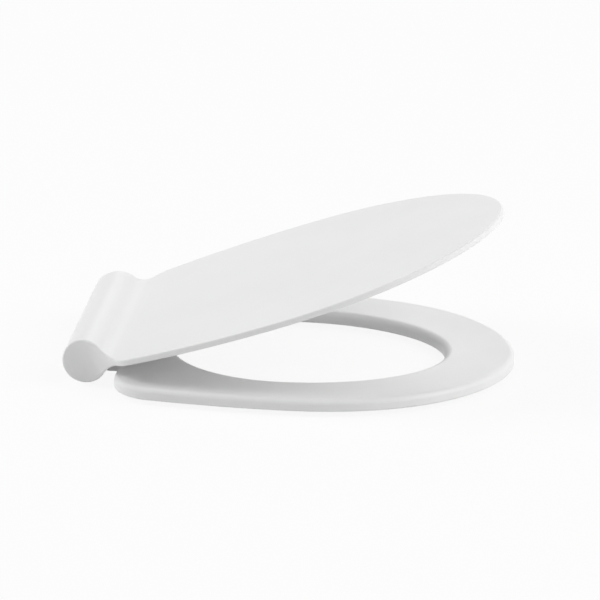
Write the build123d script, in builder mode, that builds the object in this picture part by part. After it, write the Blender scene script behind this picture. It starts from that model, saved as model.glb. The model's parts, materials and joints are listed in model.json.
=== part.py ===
from build123d import *
from math import acos, asin, atan2, cos, degrees, hypot, radians, sin, sqrt
import os

# A slim toilet seat with its lid part open, in millimetres.
# X is the width, the front is -Y and +Z is up. The pan's top plane is z = 0, and the
# origin lies on it midway between the two pan fixings, under the hinge axis.

# Stance
seat_buffer_height = 5.0     # the ring's underside above the pan
hinge_above_ring = 21.6      # hinge axis above the ring's underside
lid_open = 19.5              # lid's opening from closed, in degrees
pan_spacing = 155.0          # distance between the pan fixings

# Outline shared by lid and ring
half_width = 180.0
ring_reach = 419.0           # hinge axis to the ring's front tip
lid_overhang = 9.5           # lid's front tip ahead of the ring's

# Lid slab
slab_thickness = 6.6
slab_drop = 1.0              # slab's top below the hinge axis
lid_cheek_pull = 141.5       # how long the front curve stays parallel to the sides
lid_nose_pull = 83.0         # how long it stays square across the tip
lid_edge_radius = 1.5

# Lid barrel and its shoulders
barrel_radius = 22.8
barrel_wall = 3.5
barrel_half_length = 116.5
upper_root_radius = 21.5     # concave roots between barrel and slab
lower_root_radius = 40.0
neck_start = 9.5             # where the barrel's ends begin to swing out, behind the axis
neck_radius = 51.0
neck_turn = 61.0             # degrees
shoulder_radius = 27.0
lid_flare = 18.0             # degrees between the slab's sides and straight ahead
web_thickness = 4.0          # webs between the barrel's pockets

# Seat ring
ring_thickness = 12.5
ring_rear_gap = 31.2         # hinge axis to the ring's straight rear edge
ring_corner_radius = 47.5
ring_corner_inset = 57.5     # where the rear corners start, in from the sides
ring_flare = 9.0             # degrees
ring_cheek_pull = 157.0
ring_nose_pull = 66.0
ring_top_radius = 5.0
ring_bottom_radius = 2.0
hole_top_radius = 7.5        # softer edge all round the hole
ring_side_width = 62.8       # outline to hole, at the hole's widest line
ring_front_width = 70.0
ring_rear_width = 45.0
hole_rear_length = 119.0     # hole's rear end to its widest line

# Ring lugs, and the lip along the rear edge that carries them
lug_width = 20.0
knuckle_radius = 13.0
lug_underside_lift = 2.5     # lug's underside above the ring's underside
lug_overlap = 8.0            # how far lug and lip run into the ring
lip_half_length = 85.0
lip_rear_gap = 18.5          # hinge axis to the lip's rear end
lip_drop = 1.5               # lip's top below the ring's top

# Hinge blocks and what they hold
block_width = 36.0
block_depth = 26.0
block_above_axis = 14.0
block_below_axis = 15.0
block_corner_radius = 6.0
sleeve_bore_radius = 5.0
sleeve_wall = 2.0
sleeve_length = 22.0
pin_radius = 4.0
pin_seat_depth = 9.5         # pin or shaft inside the block
bush_wall = 2.0
bush_length = 16.0
damper_radius = 8.0
damper_length = 17.5
damper_flats = 14.0          # across the body's flats
shaft_flats = 6.0            # across the shaft's flats
shaft_reach = 12.0           # shaft inside the damper's body
washer_radius = 8.0
washer_thickness = 1.0

# Clearances
fit_gap = 0.05               # between fixed pieces
running_gap = 0.08           # between turning pieces
side_gap = 0.25              # each side of a washer
swing_gap = 1.5              # around what passes or turns inside the barrel

# Buffers
seat_buffer_length = 34.0
seat_buffer_width = 14.0
seat_buffer_sunk = 4.0
buffer_chamfer = 1.5
lid_buffer_radius = 7.0
lid_buffer_stem_radius = 4.0
lid_buffer_sunk = 3.0
closing_gap = 0.3            # lid buffers to ring, lid closed
# Right-hand spots: x, y, and for the seat's long buffers their turn in degrees
seat_buffer_spots = {
    "front": (101.0, 83.0 - ring_reach, 40.0),
    "rear": (half_width - 32.0, -146.0, 100.0),
}
lid_buffer_spots = {
    "front": (96.0, 76.0 - ring_reach),
    "rear": (half_width - 28.0, -150.0),
}

# Turning range
lid_travel = 98.0            # closed to fully raised, in degrees
slot_play = 6.0              # degrees of slot past what it lets through
middle_slot_half = 30.0      # degrees each side of straight down, in the middle pocket

axis_height = seat_buffer_height + hinge_above_ring
lid_reach = ring_reach + lid_overhang
slab_top = -slab_drop
slab_bottom = slab_top - slab_thickness
cavity_radius = barrel_radius - barrel_wall
ring_corner_start = half_width - ring_corner_inset
hole_half_width = half_width - ring_side_width
hole_center = ring_rear_gap + ring_rear_width + hole_rear_length
hole_front_length = ring_reach - ring_front_width - hole_center
block_center = pan_spacing / 2
joint_gap = washer_thickness + 2 * side_gap
block_inner = block_center - block_width / 2
block_outer = block_center + block_width / 2
lug_outer = block_inner - joint_gap
lug_inner = lug_outer - lug_width
cheek = block_outer + joint_gap
pocket_inner = lug_inner - swing_gap
middle_half = pocket_inner - web_thickness
lug_top = ring_thickness - hinge_above_ring
lug_bottom = lug_underside_lift - hinge_above_ring
lip_depth = ring_rear_gap + lug_overlap - lip_rear_gap
lip_thickness = lug_top - lip_drop - lug_bottom
slot_radius = barrel_radius + lower_root_radius
sleeve_radius = sleeve_bore_radius + sleeve_wall
bush_radius = pin_radius + running_gap + bush_wall
plug_length = seat_buffer_length - seat_buffer_width / 2
plug_width = seat_buffer_width / 2
lid_buffer_height = hinge_above_ring + slab_bottom - ring_thickness - closing_gap
socket_plane = Plane.XY.offset(axis_height - block_below_axis)

hinge_point = Vector(0, 0, axis_height)
tilt = radians(lid_open)
lid_plane = Plane(origin=hinge_point, x_dir=(1, 0, 0), z_dir=(0, sin(tilt), cos(tilt)))
closed_plane = Plane(origin=hinge_point)
sides = {"left": -1, "right": 1}
os.makedirs("parts", exist_ok=True)


def side_plane(base, x):
    """The plane across the hinge axis at x: its x is base's depth, its y base's height."""
    return Plane(origin=base.origin + base.x_dir * x, x_dir=base.y_dir, z_dir=base.x_dir)


def start(sign, near, far):
    """Lowest X of a stretch from near to far, on the side that sign gives."""
    return near if sign > 0 else -far


def root(face, radius):
    """Depth, height and upward angle of the centre of a root from a slab face to the barrel."""
    height = face + radius
    reach = barrel_radius + abs(radius)
    return sqrt(reach**2 - height**2), height, degrees(asin(height / reach))


def flatted(radius, flats, gap=0.0):
    """Draw a round section with two flats in the open sketch."""
    Circle(radius + gap)
    Rectangle(4 * radius, flats + 2 * gap, mode=Mode.INTERSECT)


def pie(from_angle, to_angle):
    """Draw a sector about the hinge axis in the open sketch, angles in degrees from +Y up."""
    with BuildLine() as sector:
        rim = CenterArc((0, 0), slot_radius, from_angle, to_angle - from_angle)
        Line(rim @ 1, (0, 0))
        Line((0, 0), rim @ 0)
    make_face(sector.edges())


def save(piece, name):
    """Label a finished piece and write it as its own file."""
    piece.part.label = name
    export_step(piece.part, f"parts/{name}.step")


# Angles at the barrel's wall, where -Y is 180, straight down is 270 and +Y is 360 degrees.
arm_root = (-ring_rear_gap - lug_overlap, lug_bottom)
arm_root_angle = degrees(atan2(arm_root[1], arm_root[0])) % 360
arm_touch_angle = arm_root_angle + degrees(acos(knuckle_radius / hypot(*arm_root)))
arm_lead_angle = arm_touch_angle - degrees(acos(knuckle_radius / cavity_radius))
lug_slot_end = arm_lead_angle + lid_travel + slot_play
pillar_half_angle = degrees(asin(sleeve_bore_radius / cavity_radius)) + slot_play
pillar_slot = (270 - pillar_half_angle, 270 + lid_travel + pillar_half_angle)

# Lid: the rolled profile across the full width, cut to the plan outline.
upper_depth, upper_height, upper_angle = root(slab_top, upper_root_radius)
lower_depth, lower_height, lower_angle = root(slab_bottom, -lower_root_radius)
past_tip = lid_reach + barrel_radius
with BuildPart() as lid:
    with BuildSketch(side_plane(lid_plane, 0)) as profile:
        with BuildLine():
            top = Line((-past_tip, slab_top), (-upper_depth, slab_top))
            CenterArc((-upper_depth, upper_height), upper_root_radius, 270, 90 - upper_angle)
            CenterArc((0, 0), barrel_radius, 180 - lower_angle, 360 + lower_angle - upper_angle)
            CenterArc((-lower_depth, lower_height), lower_root_radius, -lower_angle, 90 + lower_angle)
            bottom = Line((-lower_depth, slab_bottom), (-past_tip, slab_bottom))
            Line(bottom @ 1, top @ 0)
        make_face()
    extrude(amount=half_width, both=True)
    with BuildSketch(lid_plane) as plan:
        with BuildLine():
            end = Line((barrel_half_length, 2 * barrel_radius), (barrel_half_length, neck_start))
            neck = JernArc(end @ 1, end % 1, neck_radius, neck_turn)
            shoulder = JernArc(neck @ 1, neck % 1, shoulder_radius, lid_flare - neck_turn)
            widening = half_width - (shoulder @ 1).X
            flank_radius = widening / (1 - cos(radians(lid_flare)))
            flank = JernArc(shoulder @ 1, shoulder % 1, flank_radius, -lid_flare)
            cheek_end = flank @ 1 + Vector(0, -lid_cheek_pull)
            front = Bezier(flank @ 1, cheek_end, (lid_nose_pull, -lid_reach), (0, -lid_reach))
            rear = Line((0, 2 * barrel_radius), end @ 0)
            mirror(about=Plane.YZ)
        make_face()
    extrude(amount=2 * barrel_radius, both=True, mode=Mode.INTERSECT)
    rim = lid.edges().filter_by(Axis.X, reverse=True)
    rim = rim.filter_by(Axis(hinge_point, lid_plane.z_dir), reverse=True)
    fillet(rim, lid_edge_radius)

    # Hollow barrel: a middle pocket, and a hinge pocket on each side.
    with BuildSketch(side_plane(lid_plane, -middle_half)) as middle:
        Circle(cavity_radius)
        pie(270 - middle_slot_half, 270 + middle_slot_half)
    extrude(amount=2 * middle_half, mode=Mode.SUBTRACT)
    for sign in sides.values():
        with BuildSketch(side_plane(lid_plane, start(sign, pocket_inner, cheek))) as cavity:
            Circle(cavity_radius)
        extrude(amount=cheek - pocket_inner, mode=Mode.SUBTRACT)
        with BuildSketch(side_plane(lid_plane, start(sign, pocket_inner, block_inner))) as lug_slot:
            pie(180, lug_slot_end)
            with Locations((0, slab_bottom)):
                above = (Align.CENTER, Align.MIN)
                Rectangle(4 * slot_radius, slot_radius, align=above, mode=Mode.SUBTRACT)
        extrude(amount=block_inner - pocket_inner, mode=Mode.SUBTRACT)
        with BuildSketch(side_plane(lid_plane, start(sign, block_inner, cheek))) as pan_slot:
            pie(*pillar_slot)
        extrude(amount=cheek - block_inner, mode=Mode.SUBTRACT)

    # Seats in the barrel's solid ends, and holes for the buffers' stems.
    with BuildSketch(side_plane(lid_plane, -cheek)) as damper_seat:
        flatted(damper_radius, damper_flats, fit_gap)
    extrude(amount=-damper_length - fit_gap, mode=Mode.SUBTRACT)
    with BuildSketch(side_plane(lid_plane, cheek)) as bush_seat:
        Circle(bush_radius + fit_gap)
    extrude(amount=bush_length + fit_gap, mode=Mode.SUBTRACT)
    with BuildSketch(lid_plane.offset(slab_bottom)) as stems:
        for x, y in lid_buffer_spots.values():
            with Locations((x, y), (-x, y)):
                Circle(lid_buffer_stem_radius + fit_gap)
    extrude(amount=lid_buffer_sunk + fit_gap, mode=Mode.SUBTRACT)
save(lid, "lid")

# Seat ring: a flat oval ring with two lugs that reach back into the lid's barrel.
with BuildPart() as seat_ring:
    with BuildSketch(Plane.XY.offset(seat_buffer_height)) as ring_plan:
        with BuildLine():
            back = Line((0, -ring_rear_gap), (ring_corner_start, -ring_rear_gap))
            corner = JernArc(back @ 1, back % 1, ring_corner_radius, ring_flare - 90)
            widening = half_width - (corner @ 1).X
            flank_radius = widening / (1 - cos(radians(ring_flare)))
            flank = JernArc(corner @ 1, corner % 1, flank_radius, -ring_flare)
            cheek_end = flank @ 1 + Vector(0, -ring_cheek_pull)
            front = Bezier(flank @ 1, cheek_end, (ring_nose_pull, -ring_reach), (0, -ring_reach))
            mirror(about=Plane.YZ)
        make_face()
        with BuildLine():
            middle = (0, -hole_center)
            EllipticalCenterArc(middle, hole_half_width, hole_front_length, 180, arc_size=180)
            EllipticalCenterArc(middle, hole_half_width, hole_rear_length, 0, arc_size=180)
        make_face(mode=Mode.SUBTRACT)
    extrude(amount=ring_thickness)
    fillet(seat_ring.faces().sort_by(Axis.Z)[-1].inner_wires().edges(), hole_top_radius)
    fillet(seat_ring.faces().sort_by(Axis.Z)[-1].outer_wire().edges(), ring_top_radius)
    fillet(seat_ring.faces().sort_by(Axis.Z)[0].edges(), ring_bottom_radius)

    # The lip keeps the same gap to the closed lid's root and barrel as the lugs in it.
    with BuildSketch(side_plane(closed_plane, -lip_half_length)) as lip:
        with Locations((-lip_rear_gap, lug_bottom)):
            Rectangle(lip_depth, lip_thickness, align=(Align.MAX, Align.MIN))
        with Locations((-lower_depth, lower_height)):
            Circle(lower_root_radius - swing_gap, mode=Mode.INTERSECT)
    extrude(amount=2 * lip_half_length)
    for sign in sides.values():
        with BuildSketch(side_plane(closed_plane, start(sign, lug_inner, lug_outer))) as lug:
            Circle(knuckle_radius)
            with BuildLine():
                touch = Vector(knuckle_radius, 0).rotate(Axis.Z, arm_touch_angle)
                Polyline(touch, (0, lug_top), (arm_root[0], lug_top), arm_root, close=True)
            make_face()
        extrude(amount=lug_width)
    with BuildSketch(side_plane(closed_plane, lug_outer)) as seat_damper_seat:
        flatted(damper_radius, damper_flats, fit_gap)
    extrude(amount=-damper_length - fit_gap, mode=Mode.SUBTRACT)
    with BuildSketch(side_plane(closed_plane, -lug_outer)) as seat_bush_seat:
        Circle(bush_radius + fit_gap)
    extrude(amount=bush_length + fit_gap, mode=Mode.SUBTRACT)
    with BuildSketch(Plane.XY.offset(seat_buffer_height)) as buffer_seats:
        for sign in sides.values():
            for x, y, turn in seat_buffer_spots.values():
                with Locations((sign * x, y)):
                    SlotOverall(plug_length + 2 * fit_gap, plug_width + 2 * fit_gap, rotation=sign * turn)
    extrude(amount=seat_buffer_sunk + fit_gap, mode=Mode.SUBTRACT)
save(seat_ring, "seat_ring")

# Hinge blocks, each with a socket from below for the pan's pillar and its sleeve.
for side, sign in sides.items():
    with BuildPart() as block:
        with BuildSketch(side_plane(closed_plane, start(sign, block_inner, block_outer))) as section:
            with Locations((0, (block_above_axis - block_below_axis) / 2)):
                RectangleRounded(block_depth, block_above_axis + block_below_axis, block_corner_radius)
        extrude(amount=block_width)
        with BuildSketch(socket_plane) as socket:
            with Locations((sign * block_center, 0)):
                Circle(sleeve_radius + fit_gap)
        extrude(amount=sleeve_length + fit_gap, mode=Mode.SUBTRACT)
        for face, has_flats in ((sign * block_inner, side == "right"), (sign * block_outer, side == "left")):
            inward = 1 if abs(face) < block_center else -1
            with BuildSketch(side_plane(closed_plane, face)) as seat:
                if has_flats:
                    flatted(pin_radius, shaft_flats, fit_gap)
                else:
                    Circle(pin_radius + fit_gap)
            extrude(amount=sign * inward * (pin_seat_depth + fit_gap), mode=Mode.SUBTRACT)
    save(block, f"hinge_block_{side}")

    with BuildPart() as sleeve:
        with BuildSketch(socket_plane) as section:
            with Locations((sign * block_center, 0)):
                Circle(sleeve_radius)
                Circle(sleeve_bore_radius, mode=Mode.SUBTRACT)
        extrude(amount=sleeve_length)
    save(sleeve, f"pan_sleeve_{side}")

    # Thrust washers on both faces of the block.
    for place, near in (("inner", lug_outer + side_gap), ("outer", block_outer + side_gap)):
        with BuildPart() as washer:
            with BuildSketch(side_plane(closed_plane, start(sign, near, near + washer_thickness))) as section:
                Circle(washer_radius)
                Circle(pin_radius + running_gap, mode=Mode.SUBTRACT)
            extrude(amount=washer_thickness)
        save(washer, f"thrust_washer_{place}_{side}")


def build_pin(name, face, outward):
    """A plain pivot pin, fixed in a block's face and turning in a bush beyond it."""
    with BuildPart() as pin:
        with BuildSketch(side_plane(closed_plane, face - outward * pin_seat_depth)) as section:
            Circle(pin_radius)
        extrude(amount=outward * (pin_seat_depth + joint_gap + bush_length - swing_gap))
    save(pin, name)


def build_bush(name, face, outward):
    """The bush around a pivot pin's free end, in the lid's or the ring's seat."""
    with BuildPart() as bush:
        with BuildSketch(side_plane(closed_plane, face)) as section:
            Circle(bush_radius)
            Circle(pin_radius + running_gap, mode=Mode.SUBTRACT)
        extrude(amount=outward * bush_length)
    save(bush, name)


def build_damper(name, base, block_face, face, outward):
    """A rotary damper: the body in its flatted seat, the shaft keyed in a block's face."""
    with BuildPart() as body:
        with BuildSketch(side_plane(base, face)) as section:
            flatted(damper_radius, damper_flats)
        extrude(amount=outward * damper_length)
        with BuildSketch(side_plane(base, face)) as bore:
            Circle(pin_radius + running_gap)
        extrude(amount=outward * (shaft_reach + swing_gap), mode=Mode.SUBTRACT)
    save(body, f"{name}_body")
    with BuildPart() as shaft:
        with BuildSketch(side_plane(closed_plane, block_face)) as round_section:
            Circle(pin_radius)
        extrude(amount=outward * (joint_gap + shaft_reach))
        with BuildSketch(side_plane(closed_plane, block_face)) as keyed_section:
            flatted(pin_radius, shaft_flats)
        extrude(amount=-outward * pin_seat_depth)
    save(shaft, f"{name}_shaft")


build_pin("lid_pivot_pin", block_outer, 1)
build_bush("lid_pivot_bush", cheek, 1)
build_damper("lid_damper", lid_plane, -block_outer, -cheek, -1)
build_pin("seat_pivot_pin", -block_inner, 1)
build_bush("seat_pivot_bush", -lug_outer, 1)
build_damper("seat_damper", closed_plane, block_inner, lug_outer, -1)

# Rubber buffers under the ring and under the lid.
for side, sign in sides.items():
    for place, (x, y, turn) in seat_buffer_spots.items():
        with BuildPart() as buffer:
            with BuildSketch() as pad:
                with Locations((sign * x, y)):
                    SlotOverall(seat_buffer_length, seat_buffer_width, rotation=sign * turn)
            extrude(amount=seat_buffer_height)
            chamfer(buffer.faces().sort_by(Axis.Z)[0].edges(), buffer_chamfer)
            with BuildSketch(Plane.XY.offset(seat_buffer_height)) as plug:
                with Locations((sign * x, y)):
                    SlotOverall(plug_length, plug_width, rotation=sign * turn)
            extrude(amount=seat_buffer_sunk)
        save(buffer, f"seat_buffer_{place}_{side}")
    for place, (x, y) in lid_buffer_spots.items():
        with BuildPart() as buffer:
            with BuildSketch(lid_plane.offset(slab_bottom)) as head:
                with Locations((sign * x, y)):
                    Circle(lid_buffer_radius)
            extrude(amount=-lid_buffer_height)
            low = buffer.faces().sort_by(Axis(hinge_point, lid_plane.z_dir))[0]
            chamfer(low.edges(), lid_buffer_height / 2)
            with BuildSketch(lid_plane.offset(slab_bottom)) as stem:
                with Locations((sign * x, y)):
                    Circle(lid_buffer_stem_radius)
            extrude(amount=lid_buffer_sunk)
        save(buffer, f"lid_buffer_{place}_{side}")
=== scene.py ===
import json
from math import cos, radians, sin

import bpy
from mathutils import Matrix, Vector


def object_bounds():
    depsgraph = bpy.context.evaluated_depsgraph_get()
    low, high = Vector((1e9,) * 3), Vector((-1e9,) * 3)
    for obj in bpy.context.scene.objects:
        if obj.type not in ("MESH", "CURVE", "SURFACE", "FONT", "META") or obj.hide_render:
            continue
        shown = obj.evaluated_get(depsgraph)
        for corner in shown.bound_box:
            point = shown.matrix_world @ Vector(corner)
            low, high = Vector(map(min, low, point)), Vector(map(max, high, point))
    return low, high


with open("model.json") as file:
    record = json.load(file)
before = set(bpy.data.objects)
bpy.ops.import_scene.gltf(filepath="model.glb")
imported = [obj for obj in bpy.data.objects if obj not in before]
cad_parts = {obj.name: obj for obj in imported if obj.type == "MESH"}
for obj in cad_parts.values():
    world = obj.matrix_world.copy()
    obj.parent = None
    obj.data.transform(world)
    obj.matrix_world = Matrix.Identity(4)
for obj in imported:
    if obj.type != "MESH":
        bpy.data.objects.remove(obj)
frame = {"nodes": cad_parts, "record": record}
cad_low, cad_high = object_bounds()

# Camera, in degrees and metres: a very long lens, so parallel lines stay parallel
VIEW_AZIMUTH = -82.90
VIEW_ELEVATION = 17.24
VIEW_ROLL = 0.84
VIEW_TARGET = Vector((0.0, -0.2018, 0.0655))
VIEW_WIDTH = 0.6037
VIEW_DISTANCE = 15.5
VIEW_NEAREST = 0.1
VIEW_FARTHEST = 40.0
SENSOR_MM = 36.0

# Stage: light levels of the sky, then the floor's size in metres, its paint and its share of plain white
WHITE = 1.0
SKY_HORIZON = 0.44
SKY_ZENITH = 0.26
FLOOR_SIZE = 14.0
FLOOR_PAINT = 0.85
FLOOR_GLOW = 0.9

# Square lamps, in metres and watts, that all face the middle of the object
LAMPS = {
    "front_softbox": {"place": (-0.64, -5.64, 2.03), "width": 4.16, "power": 128.0, "mirrored": False},
    "top_softbox": {"place": (-0.3, -3.0, 3.2), "width": 2.4, "power": 48.0, "mirrored": False},
    "rear_softbox": {"place": (-0.3, 4.0, 3.2), "width": 2.6, "power": 136.0, "mirrored": False},
    "far_softbox": {"place": (2.6, -0.5, 1.2), "width": 1.6, "power": 5.0, "mirrored": True},
}

# The part of a noise texture's values that colour and roughness are spread over
COLOUR_SPAN = (0.35, 0.65)
ROUGHNESS_SPAN = (0.3, 0.7)


def grey(level):
    """A colour with no hue."""
    return (level, level, level)


def new_material(name):
    """A material with a Principled shader and object coordinates to build on."""
    material = bpy.data.materials.new(name)
    material.use_nodes = True
    tree = material.node_tree
    shader = tree.nodes["Principled BSDF"]
    place = tree.nodes.new("ShaderNodeTexCoord").outputs["Object"]
    return material, tree, shader, place


def noise(tree, place, scale, detail, stretch=None):
    """Noise texture in object space, scale in features per metre, stretched along an axis if asked."""
    if stretch:
        mapping = tree.nodes.new("ShaderNodeMapping")
        mapping.inputs["Scale"].default_value = stretch
        tree.links.new(place, mapping.inputs["Vector"])
        place = mapping.outputs["Vector"]
    node = tree.nodes.new("ShaderNodeTexNoise")
    node.inputs["Scale"].default_value = scale
    node.inputs["Detail"].default_value = detail
    tree.links.new(place, node.inputs["Vector"])
    return node.outputs["Fac"]


def vary_colour(tree, shader, factor, low, high):
    """Base colour from low to high as the factor crosses its span."""
    node = tree.nodes.new("ShaderNodeValToRGB")
    first, last = node.color_ramp.elements
    first.position, last.position = COLOUR_SPAN
    first.color = (*low, 1)
    last.color = (*high, 1)
    tree.links.new(factor, node.inputs["Fac"])
    tree.links.new(node.outputs["Color"], shader.inputs["Base Color"])


def vary_roughness(tree, shader, factor, low, high):
    """Roughness from low to high as the factor crosses its span."""
    start, end = ROUGHNESS_SPAN
    node = tree.nodes.new("ShaderNodeMapRange")
    node.inputs["From Min"].default_value = start
    node.inputs["From Max"].default_value = end
    node.inputs["To Min"].default_value = low
    node.inputs["To Max"].default_value = high
    tree.links.new(factor, node.inputs["Value"])
    tree.links.new(node.outputs["Result"], shader.inputs["Roughness"])


def add_bump(tree, shader, height, strength, distance):
    """Surface relief from a texture, with the distance in metres."""
    node = tree.nodes.new("ShaderNodeBump")
    node.inputs["Strength"].default_value = strength
    node.inputs["Distance"].default_value = distance
    tree.links.new(height, node.inputs["Height"])
    tree.links.new(node.outputs["Normal"], shader.inputs["Normal"])


def white_moulding():
    """Polished white moulding: a hardly visible cloudiness, and the faint waviness of a moulded face."""
    material, tree, shader, place = new_material("white_moulding")
    cloud = noise(tree, place, scale=9.0, detail=3.0)
    vary_colour(tree, shader, cloud, low=grey(0.845), high=grey(0.865))
    polish = noise(tree, place, scale=38.0, detail=4.0)
    vary_roughness(tree, shader, polish, low=0.30, high=0.36)
    ripple = noise(tree, place, scale=24.0, detail=1.0)
    add_bump(tree, shader, ripple, strength=0.03, distance=0.0006)
    shader.inputs["Specular IOR Level"].default_value = 0.45
    return material


def buffer_rubber():
    """Soft pale grey rubber with a fine matt grain."""
    material, tree, shader, place = new_material("buffer_rubber")
    blotch = noise(tree, place, scale=120.0, detail=3.0)
    vary_colour(tree, shader, blotch, low=(0.60, 0.60, 0.59), high=(0.68, 0.68, 0.67))
    grain = noise(tree, place, scale=2600.0, detail=3.0)
    vary_roughness(tree, shader, grain, low=0.62, high=0.78)
    add_bump(tree, shader, grain, strength=0.25, distance=0.0001)
    shader.inputs["Specular IOR Level"].default_value = 0.3
    return material


def block_plastic():
    """Glass-filled grey plastic: mottled, with short fibres showing in the skin."""
    material, tree, shader, place = new_material("block_plastic")
    fibres = noise(tree, place, scale=1300.0, detail=4.0, stretch=(0.5, 1.0, 1.0))
    vary_colour(tree, shader, fibres, low=(0.28, 0.28, 0.29), high=(0.34, 0.34, 0.35))
    vary_roughness(tree, shader, fibres, low=0.45, high=0.62)
    add_bump(tree, shader, fibres, strength=0.2, distance=0.0001)
    return material


def bearing_plastic():
    """Waxy off-white bearing plastic with faint turning marks."""
    material, tree, shader, place = new_material("bearing_plastic")
    marks = noise(tree, place, scale=600.0, detail=3.0, stretch=(4.0, 0.4, 0.4))
    vary_colour(tree, shader, marks, low=(0.76, 0.75, 0.71), high=(0.82, 0.81, 0.77))
    vary_roughness(tree, shader, marks, low=0.3, high=0.42)
    add_bump(tree, shader, marks, strength=0.1, distance=0.00008)
    shader.inputs["Subsurface Weight"].default_value = 0.05
    return material


def damper_plastic():
    """Dark satin moulding of the damper bodies."""
    material, tree, shader, place = new_material("damper_plastic")
    spark = noise(tree, place, scale=1500.0, detail=4.0)
    vary_colour(tree, shader, spark, low=(0.028, 0.028, 0.031), high=(0.048, 0.048, 0.052))
    vary_roughness(tree, shader, spark, low=0.38, high=0.52)
    add_bump(tree, shader, spark, strength=0.15, distance=0.00008)
    return material


def turned_steel():
    """Ground steel pins and shafts, with fine rings round the axis."""
    material, tree, shader, place = new_material("turned_steel")
    rings = noise(tree, place, scale=900.0, detail=3.0, stretch=(6.0, 0.3, 0.3))
    vary_colour(tree, shader, rings, low=(0.52, 0.52, 0.54), high=(0.64, 0.64, 0.66))
    vary_roughness(tree, shader, rings, low=0.2, high=0.34)
    add_bump(tree, shader, rings, strength=0.12, distance=0.00005)
    shader.inputs["Metallic"].default_value = 1.0
    return material


def dress_nodes():
    """Gives each node the finish of its slot in the record."""
    finishes = {
        "white_moulding": white_moulding(),
        "buffer_rubber": buffer_rubber(),
        "block_plastic": block_plastic(),
        "bearing_plastic": bearing_plastic(),
        "damper_plastic": damper_plastic(),
        "steel": turned_steel(),
    }
    slots = {part["node"]: part["material_slot"] for part in frame["record"]["subparts"]}
    for name, node in frame["nodes"].items():
        node.data.materials.clear()
        node.data.materials.append(finishes[slots[name]])


def seen_directly(tree):
    """1 for rays from the camera, or mirrored or bent from it, and 0 for light that bounces."""
    path = tree.nodes.new("ShaderNodeLightPath").outputs
    total = path["Is Camera Ray"]
    for name in ("Is Glossy Ray", "Is Transmission Ray"):
        join = tree.nodes.new("ShaderNodeMath")
        join.operation = "MAXIMUM"
        tree.links.new(total, join.inputs[0])
        tree.links.new(path[name], join.inputs[1])
        total = join.outputs[0]
    return total


def add_world():
    """Soft light from all round, weaker from straight above, and plain white where it is seen directly."""
    world = bpy.data.worlds.new("studio")
    world.use_nodes = True
    tree = world.node_tree
    way = tree.nodes.new("ShaderNodeTexCoord").outputs["Generated"]
    parts = tree.nodes.new("ShaderNodeSeparateXYZ")
    tree.links.new(way, parts.inputs["Vector"])
    sky = tree.nodes.new("ShaderNodeMapRange")
    sky.inputs["To Min"].default_value = SKY_HORIZON
    sky.inputs["To Max"].default_value = SKY_ZENITH
    tree.links.new(parts.outputs["Z"], sky.inputs["Value"])
    level = tree.nodes.new("ShaderNodeMix")
    tree.links.new(seen_directly(tree), level.inputs["Factor"])
    tree.links.new(sky.outputs["Result"], level.inputs["A"])
    level.inputs["B"].default_value = WHITE
    background = tree.nodes["Background"]
    background.inputs["Color"].default_value = (*grey(WHITE), 1)
    tree.links.new(level.outputs["Result"], background.inputs["Strength"])
    bpy.context.scene.world = world


def floor_paint():
    """Pale matt paint, seen directly as mostly plain white, so shadows on it show softly."""
    material = bpy.data.materials.new("floor")
    material.use_nodes = True
    tree = material.node_tree
    tree.nodes.remove(tree.nodes["Principled BSDF"])
    matt = tree.nodes.new("ShaderNodeBsdfDiffuse")
    matt.inputs["Color"].default_value = (*grey(FLOOR_PAINT), 1)
    glow = tree.nodes.new("ShaderNodeEmission")
    glow.inputs["Strength"].default_value = WHITE
    share = tree.nodes.new("ShaderNodeMath")
    share.operation = "MULTIPLY"
    share.inputs[1].default_value = FLOOR_GLOW
    tree.links.new(seen_directly(tree), share.inputs[0])
    mix = tree.nodes.new("ShaderNodeMixShader")
    tree.links.new(share.outputs[0], mix.inputs["Fac"])
    tree.links.new(matt.outputs[0], mix.inputs[1])
    tree.links.new(glow.outputs[0], mix.inputs[2])
    tree.links.new(mix.outputs[0], tree.nodes["Material Output"].inputs["Surface"])
    return material


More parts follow.
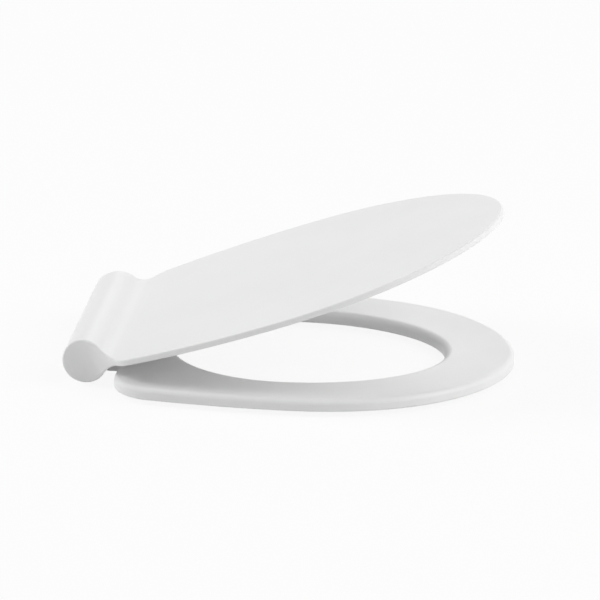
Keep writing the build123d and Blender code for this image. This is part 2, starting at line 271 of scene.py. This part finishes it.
def add_floor():
    """A square floor at the height that the object rests on."""
    half = FLOOR_SIZE / 2
    corners = [(-half, -half, 0), (half, -half, 0), (half, half, 0), (-half, half, 0)]
    mesh = bpy.data.meshes.new("floor")
    mesh.from_pydata(corners, [], [(0, 1, 2, 3)])
    mesh.materials.append(floor_paint())
    floor = bpy.data.objects.new("floor", mesh)
    bpy.context.scene.collection.objects.link(floor)


def add_softbox(name, aim, place, width, power, mirrored):
    """A square lamp, which shows as a soft highlight in glossy faces only if it is mirrored."""
    data = bpy.data.lights.new(name, "AREA")
    data.shape = "SQUARE"
    data.size = width
    data.energy = power
    lamp = bpy.data.objects.new(name, data)
    lamp.location = place
    lamp.rotation_euler = (Vector(aim) - Vector(place)).to_track_quat("-Z", "Y").to_euler()
    lamp.visible_glossy = mirrored
    bpy.context.scene.collection.objects.link(lamp)


def add_camera():
    """The camera, looking at its target from the view's azimuth and elevation, and rolled a little."""
    azimuth, elevation, roll = radians(VIEW_AZIMUTH), radians(VIEW_ELEVATION), radians(VIEW_ROLL)
    right = Vector((cos(azimuth), sin(azimuth), 0))
    up = Vector((-sin(azimuth) * sin(elevation), cos(azimuth) * sin(elevation), cos(elevation)))
    back = Vector((sin(azimuth) * cos(elevation), -cos(azimuth) * cos(elevation), sin(elevation)))
    rolled_right = right * cos(roll) + up * sin(roll)
    rolled_up = up * cos(roll) - right * sin(roll)
    data = bpy.data.cameras.new("camera")
    data.sensor_width = SENSOR_MM
    data.lens = SENSOR_MM * VIEW_DISTANCE / VIEW_WIDTH
    data.clip_start = VIEW_NEAREST
    data.clip_end = VIEW_FARTHEST
    camera = bpy.data.objects.new("camera", data)
    turn = Matrix((rolled_right, rolled_up, back)).transposed().to_4x4()
    camera.matrix_world = Matrix.Translation(VIEW_TARGET + back * VIEW_DISTANCE) @ turn
    bpy.context.scene.collection.objects.link(camera)
    bpy.context.scene.camera = camera


dress_nodes()
add_world()
add_floor()
middle = (cad_low + cad_high) / 2
for lamp_name, lamp_values in LAMPS.items():
    add_softbox(lamp_name, middle, **lamp_values)
add_camera()
bpy.context.scene.view_settings.view_transform = "Standard"
